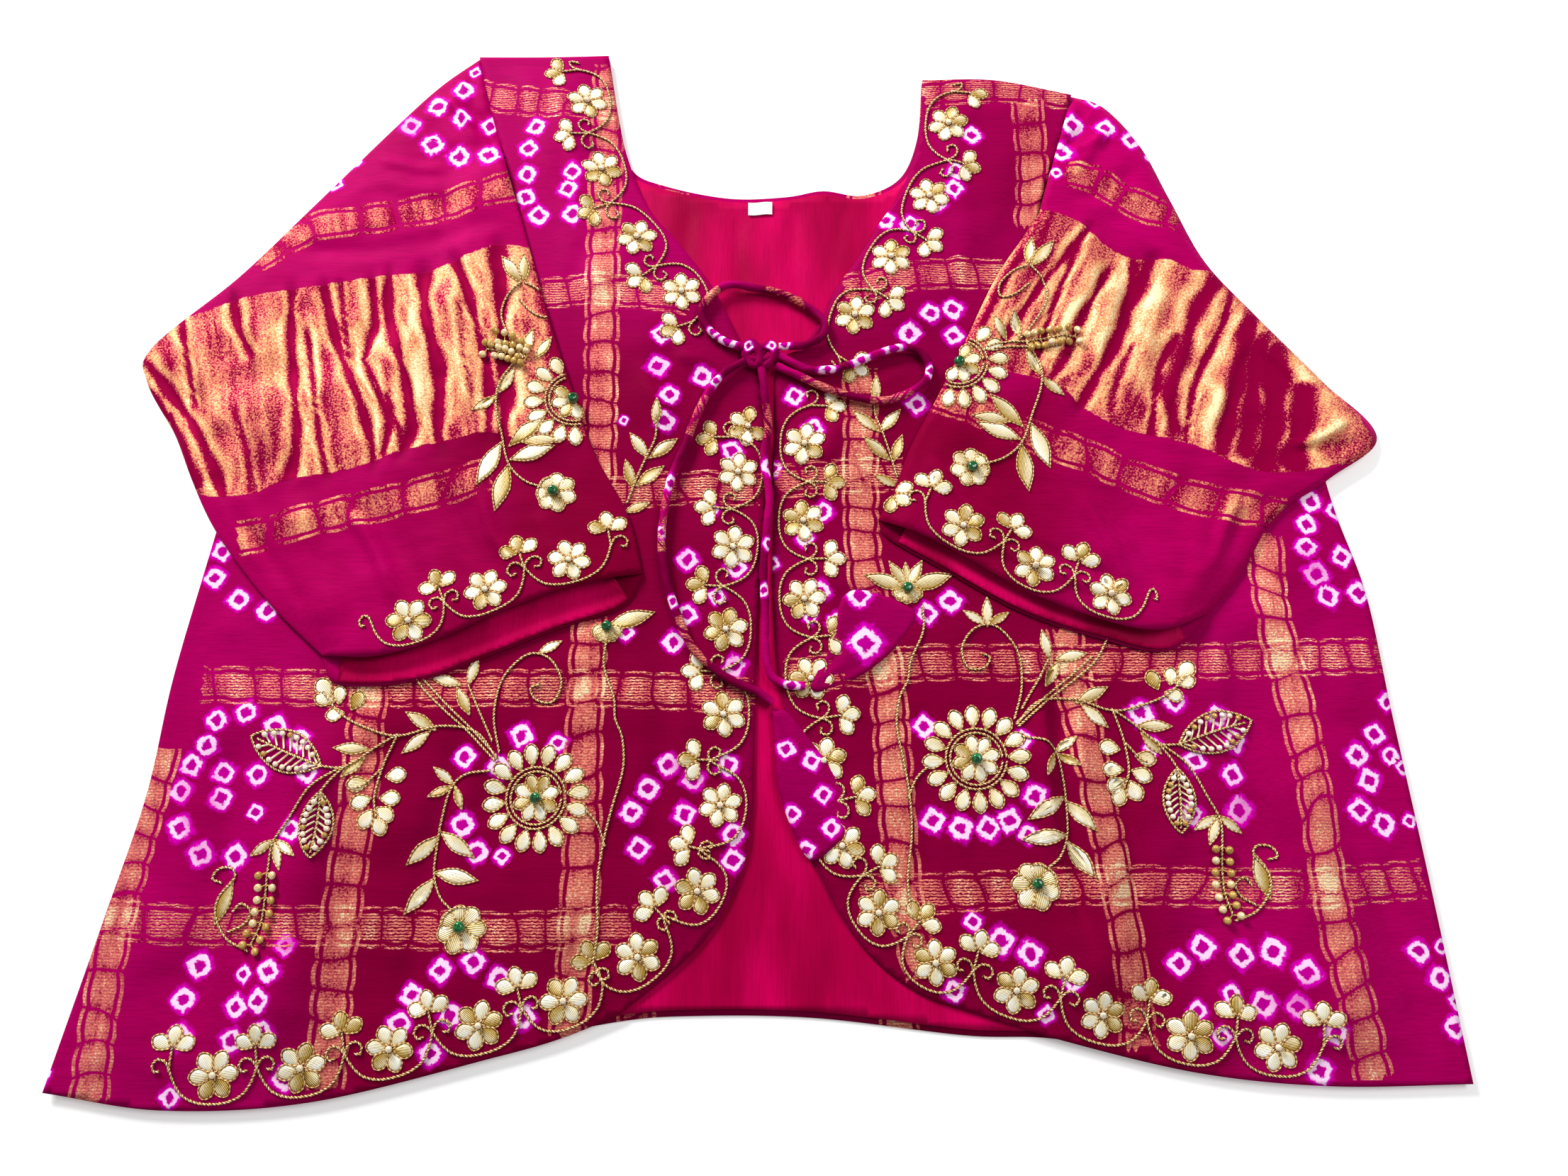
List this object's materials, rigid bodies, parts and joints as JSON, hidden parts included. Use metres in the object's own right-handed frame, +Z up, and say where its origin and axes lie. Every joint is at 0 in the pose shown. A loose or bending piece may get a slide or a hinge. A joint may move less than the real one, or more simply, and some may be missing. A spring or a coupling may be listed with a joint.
{
  "type": "open-front jacket",
  "caption": "Short flared open-front jacket with wide elbow sleeves, laid flat, its fronts tied at the bust by two cloth cords with fan pendants.",
  "frame": {"origin": "middle of the laid-out jacket's outline, on the surface that it lies on", "axes": "+Z up from the surface, +Y from the hem to the neck, +X towards the wearer's left"},
  "size_m": [0.6977, 0.5922, 0.0109],
  "materials": {
    "silk": "tie-dyed silk with gold thread checks, soft sheen",
    "lining": "plain crimson lining, satin",
    "tie": "silk cord and folded cloth, soft sheen",
    "label": "woven tape, matt",
    "gota": "pale gold metal ribbon and cord, satin",
    "beads": "glossy beads and pearls"
  },
  "bodies": {
    "root": {"back": "silk", "back_lining": "lining", "size_label": "label", "right_front": "silk", "left_front": "silk", "right_sleeve": "silk", "left_sleeve": "silk", "right_cuff_lining": "lining", "left_cuff_lining": "lining", "tie_knot": "tie", "tie_upper_loop": "tie", "tie_side_loop": "tie", "tie_outer_tail": "tie", "tie_centre_tail": "tie", "pendant_upper": "tie", "pendant_lower": "tie"}
  },
  "joints": []
}
